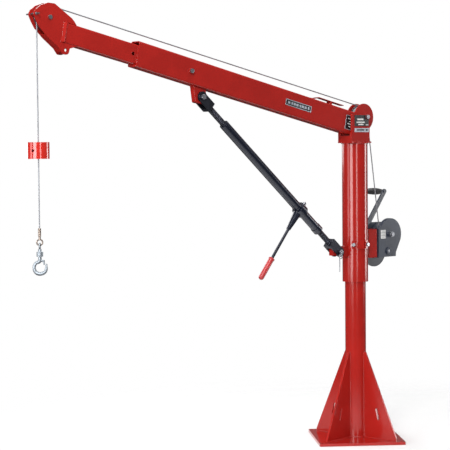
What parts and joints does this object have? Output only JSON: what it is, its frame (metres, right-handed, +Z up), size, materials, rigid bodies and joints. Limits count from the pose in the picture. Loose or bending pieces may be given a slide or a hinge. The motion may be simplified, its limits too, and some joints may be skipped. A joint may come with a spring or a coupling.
{
  "type": "swivelling jib crane",
  "caption": "Floor-mounted swivelling jib crane with telescopic boom, ratchet turnbuckle strut, hand winch, wire rope, weight and hook.",
  "frame": {"origin": "centre of the floor bolt circle, on the underside of the base plate", "axes": "+X from the post towards the hook, +Y across the boom, +Z up"},
  "size_m": [2.119, 0.5493, 1.8029],
  "materials": {
    "base_plate": "glossy red enamel",
    "base_gussets": "glossy red enamel",
    "mast_tube": "glossy red enamel",
    "swivel_bushes": "plain nylon",
    "column_sleeve": "glossy red enamel",
    "head_plate": "glossy red enamel",
    "pivot_cheeks": "glossy red enamel",
    "front_web": "glossy red enamel",
    "pivot_bolt": "bright zinc plating",
    "column_strut_lug": "glossy red enamel",
    "lower_strut_pin": "bright zinc plating",
    "swivel_lock_bosses": "glossy red enamel",
    "column_labels": "printed film",
    "winch_bracket": "glossy red enamel",
    "winch_frame": "slate grey enamel",
    "gear_cover": "slate grey enamel",
    "drum_axle": "bright zinc plating",
    "cable_mast_run": "bright wire rope",
    "swivel_lock_bolt_1": "bright zinc plating",
    "swivel_lock_bolt_2": "bright zinc plating",
    "outer_boom_tube": "glossy red enamel",
    "tail_plates": "glossy red enamel",
    "cable_guard": "glossy red enamel",
    "boom_strut_lug": "glossy red enamel",
    "boom_wear_pad": "plain nylon",
    "boom_labels": "printed film",
    "cable_boom_run": "bright wire rope",
    "extension_lock_bolt": "bright zinc plating",
    "rear_sheave": "machined grey metal",
    "inner_boom_tube": "glossy red enamel",
    "head_cheeks": "glossy red enamel",
    "head_axle_bolt": "bright zinc plating",
    "cable_keeper": "bright zinc plating",
    "cable_head_wrap": "bright wire rope",
    "head_sheave": "machined grey metal",
    "strut_lower_fork": "dark oiled black-blue finish",
    "ratchet_side_rings": "dark oiled black-blue finish",
    "strut_barrel": "dark oiled black-blue finish",
    "ratchet_handle": "dark oiled black-blue finish",
    "handle_grip": "dipped red vinyl",
    "pawl_knob": "bright zinc plating",
    "strut_upper_fork": "dark oiled black-blue finish",
    "upper_strut_pin": "bright zinc plating",
    "cable_drum": "slate grey enamel",
    "wound_cable": "bright wire rope",
    "drum_gear": "slate grey enamel",
    "pinion_shaft": "bright zinc plating",
    "brake_disc": "slate grey enamel",
    "crank_arm": "slate grey enamel",
    "crank_grip": "moulded black plastic",
    "winch_pawl": "bright zinc plating",
    "cable_drop": "bright wire rope",
    "cable_tail": "bright wire rope",
    "cable_weight": "glossy red enamel",
    "ferrule": "bright wire rope",
    "swivel_eye": "bright zinc plating",
    "hook": "bright zinc plating",
    "hook_latch": "bright zinc plating"
  },
  "bodies": {
    "base": {"base_plate": "base_plate", "base_gussets": "base_gussets", "mast_tube": "mast_tube", "swivel_bushes": "swivel_bushes"},
    "column": {"column_sleeve": "column_sleeve", "head_plate": "head_plate", "pivot_cheeks": "pivot_cheeks", "front_web": "front_web", "pivot_bolt": "pivot_bolt", "column_strut_lug": "column_strut_lug", "lower_strut_pin": "lower_strut_pin", "swivel_lock_bosses": "swivel_lock_bosses", "column_labels": "column_labels", "winch_bracket": "winch_bracket", "winch_frame": "winch_frame", "gear_cover": "gear_cover", "drum_axle": "drum_axle", "cable_mast_run": "cable_mast_run"},
    "swivel_lock_1": {"swivel_lock_bolt_1": "swivel_lock_bolt_1"},
    "swivel_lock_2": {"swivel_lock_bolt_2": "swivel_lock_bolt_2"},
    "boom": {"outer_boom_tube": "outer_boom_tube", "tail_plates": "tail_plates", "cable_guard": "cable_guard", "boom_strut_lug": "boom_strut_lug", "boom_wear_pad": "boom_wear_pad", "boom_labels": "boom_labels", "cable_boom_run": "cable_boom_run"},
    "extension_lock": {"extension_lock_bolt": "extension_lock_bolt"},
    "rear_sheave": {"rear_sheave": "rear_sheave"},
    "inner_boom": {"inner_boom_tube": "inner_boom_tube", "head_cheeks": "head_cheeks", "head_axle_bolt": "head_axle_bolt", "cable_keeper": "cable_keeper", "cable_head_wrap": "cable_head_wrap"},
    "head_sheave": {"head_sheave": "head_sheave"},
    "strut_lower": {"strut_lower_fork": "strut_lower_fork"},
    "ratchet_housing": {"ratchet_side_rings": "ratchet_side_rings"},
    "barrel": {"strut_barrel": "strut_barrel"},
    "ratchet_lever": {"ratchet_handle": "ratchet_handle", "handle_grip": "handle_grip"},
    "pawl_knob": {"pawl_knob": "pawl_knob"},
    "strut_upper": {"strut_upper_fork": "strut_upper_fork", "upper_strut_pin": "upper_strut_pin"},
    "drum": {"cable_drum": "cable_drum", "wound_cable": "wound_cable", "drum_gear": "drum_gear"},
    "crank": {"pinion_shaft": "pinion_shaft", "brake_disc": "brake_disc", "crank_arm": "crank_arm"},
    "crank_grip": {"crank_grip": "crank_grip"},
    "winch_pawl": {"winch_pawl": "winch_pawl"},
    "drop": {"cable_drop": "cable_drop"},
    "load": {"cable_tail": "cable_tail", "cable_weight": "cable_weight", "ferrule": "ferrule", "swivel_eye": "swivel_eye"},
    "hook": {"hook": "hook"},
    "hook_latch": {"hook_latch": "hook_latch"}
  },
  "joints": [
    {"name": "mast_swivel", "type": "hinge", "parent": "base", "child": "column", "pos_m": [0, 0, 0.688], "axis": [0, 0, 1], "continuous": true},
    {"name": "swivel_lock_1_out", "type": "slide", "parent": "column", "child": "swivel_lock_1", "axis": [0.7986, 0.6018, 0], "range_m": [0, 0.008]},
    {"name": "swivel_lock_2_out", "type": "slide", "parent": "column", "child": "swivel_lock_2", "axis": [-0.1219, 0.9925, 0], "range_m": [0, 0.008]},
    {"name": "boom_pivot", "type": "hinge", "parent": "column", "child": "boom", "pos_m": [-0.0347, 0, 1.3999], "axis": [0, -1, 0], "range_deg": [-4, 18], "deforming": ["cable_mast_run"]},
    {"name": "extension_lock_out", "type": "slide", "parent": "boom", "child": "extension_lock", "axis": [0, 1, 0], "range_m": [0, 0.01]},
    {"name": "boom_extension", "type": "slide", "parent": "boom", "child": "inner_boom", "axis": [0.9792, 0, 0.2028], "range_m": [-0.25, 0.15], "deforming": ["cable_boom_run"]},
    {"name": "strut_swing", "type": "hinge", "parent": "column", "child": "strut_lower", "pos_m": [0.115, 0, 0.822], "axis": [0, -1, 0], "range_deg": [-3, 13.4]},
    {"name": "lower_screw_travel", "type": "slide", "parent": "strut_lower", "child": "ratchet_housing", "axis": [0.77, 0, 0.6381], "range_m": [-0.0188, 0.083]},
    {"name": "upper_screw_travel", "type": "slide", "parent": "ratchet_housing", "child": "strut_upper", "axis": [0.77, 0, 0.6381], "range_m": [-0.0188, 0.083]},
    {"name": "barrel_spin", "type": "hinge", "parent": "ratchet_housing", "child": "barrel", "pos_m": [0.42299, 0, 1.07723], "axis": [0.77, 0, 0.6381], "continuous": true},
    {"name": "ratchet_handle_swing", "type": "hinge", "parent": "ratchet_housing", "child": "ratchet_lever", "pos_m": [0.34368, 0, 1.01151], "axis": [0.77, 0, 0.6381], "range_deg": [-35, 35]},
    {"name": "pawl_knob_turn", "type": "hinge", "parent": "ratchet_lever", "child": "pawl_knob", "pos_m": [0.31761, 0, 1.02886], "axis": [-0.6381, 0, 0.77], "range_deg": [0, 180]},
    {"name": "rear_sheave_spin", "type": "hinge", "parent": "column", "child": "rear_sheave", "pos_m": [-0.0347, 0, 1.3999], "axis": [0, -1, 0], "range_deg": [-626, 434]},
    {"name": "head_sheave_spin", "type": "hinge", "parent": "inner_boom", "child": "head_sheave", "pos_m": [1.642, 0, 1.7515], "axis": [0, -1, 0], "range_deg": [-626, 434]},
    {"name": "drop_swing", "type": "hinge", "parent": "inner_boom", "child": "drop", "pos_m": [1.642, 0, 1.7515], "axis": [0, -1, 0], "range_deg": [-18, 4], "deforming": ["cable_head_wrap"]},
    {"name": "hook_hoist", "type": "slide", "parent": "drop", "child": "load", "axis": [0, 0, 1], "range_m": [-0.495, 0.343], "deforming": ["cable_drop"]},
    {"name": "hook_swivel", "type": "hinge", "parent": "load", "child": "hook", "pos_m": [1.6872, 0, 0.885], "axis": [0, 0, 1], "continuous": true},
    {"name": "hook_latch_hinge", "type": "hinge", "parent": "hook", "child": "hook_latch", "pos_m": [1.67766, 0.00883, 0.868], "axis": [-0.6791, -0.7341, 0], "range_deg": [0, 25], "stiffness_Nm_per_rad": 0.01, "springref_deg": -17.19},
    {"name": "crank_spin", "type": "hinge", "parent": "column", "child": "crank", "pos_m": [-0.179, 0, 0.8127], "axis": [0, -1, 0], "range_deg": [-4680, 3240]},
    {"name": "drum_spin", "type": "hinge", "parent": "column", "child": "drum", "pos_m": [-0.191, 0, 0.8855], "axis": [0, 1, 0], "range_deg": [-907, 628]},
    {"name": "crank_grip_spin", "type": "hinge", "parent": "crank", "child": "crank_grip", "pos_m": [-0.376, -0.22, 1.066], "axis": [0, 1, 0], "continuous": true},
    {"name": "winch_pawl_lift", "type": "hinge", "parent": "column", "child": "winch_pawl", "pos_m": [-0.15, -0.0445, 0.855], "axis": [0, -1, 0], "range_deg": [0, 20]}
  ],
  "couplings": [
    {"joint": "strut_swing", "follows": "boom_pivot", "ratio": 0.73},
    {"joint": "lower_screw_travel", "follows": "boom_pivot", "m_per_rad": 0.261},
    {"joint": "upper_screw_travel", "follows": "boom_pivot", "m_per_rad": 0.261},
    {"joint": "drop_swing", "follows": "boom_pivot", "ratio": -1},
    {"joint": "hook_hoist", "follows": "crank_spin", "m_per_rad": 0.006039},
    {"joint": "drum_spin", "follows": "crank_spin", "ratio": 0.19355},
    {"joint": "rear_sheave_spin", "follows": "crank_spin", "ratio": 0.1336},
    {"joint": "head_sheave_spin", "follows": "crank_spin", "ratio": 0.1336}
  ]
}
